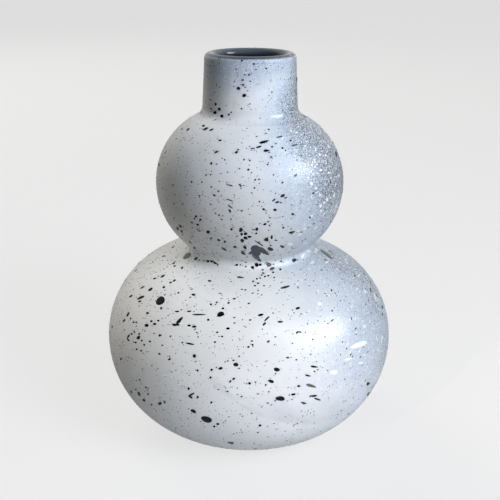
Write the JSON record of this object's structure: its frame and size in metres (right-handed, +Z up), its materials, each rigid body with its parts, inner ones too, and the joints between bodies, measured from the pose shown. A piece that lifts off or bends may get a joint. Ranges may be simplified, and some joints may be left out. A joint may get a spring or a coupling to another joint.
{
  "type": "double gourd vase",
  "caption": "Double gourd ceramic vase: a wide oblate bulb carries a smaller bulb and a short straight neck with a round lip; pale sprayed coat with dark spatter, holds stems and water.",
  "frame": {"origin": "on the table, at the centre of the foot ring's underside", "axes": "+Z up along the axis the vase is turned about; +X to the right and -Y towards the viewer of the picture"},
  "size_m": [0.167, 0.167, 0.22],
  "materials": {
    "fired_clay": "bare fired stoneware, matt",
    "fired_slip": "fired joining slip, matt",
    "liner_glaze": "dark blue-black gloss glaze",
    "outer_coat": "pale satin sprayed coat with dark spatter"
  },
  "bodies": {
    "root": {"lower_bowl": "fired_clay", "lower_shoulder": "fired_clay", "upper_bowl": "fired_clay", "upper_shoulder": "fired_clay", "neck_collar": "fired_clay", "foot_ring": "fired_clay", "lower_belly_slip_joint": "fired_slip", "waist_slip_joint": "fired_slip", "upper_belly_slip_joint": "fired_slip", "neck_slip_joint": "fired_slip", "foot_slip_joint": "fired_slip", "liner_glaze": "liner_glaze", "outer_coat": "outer_coat"}
  },
  "joints": []
}
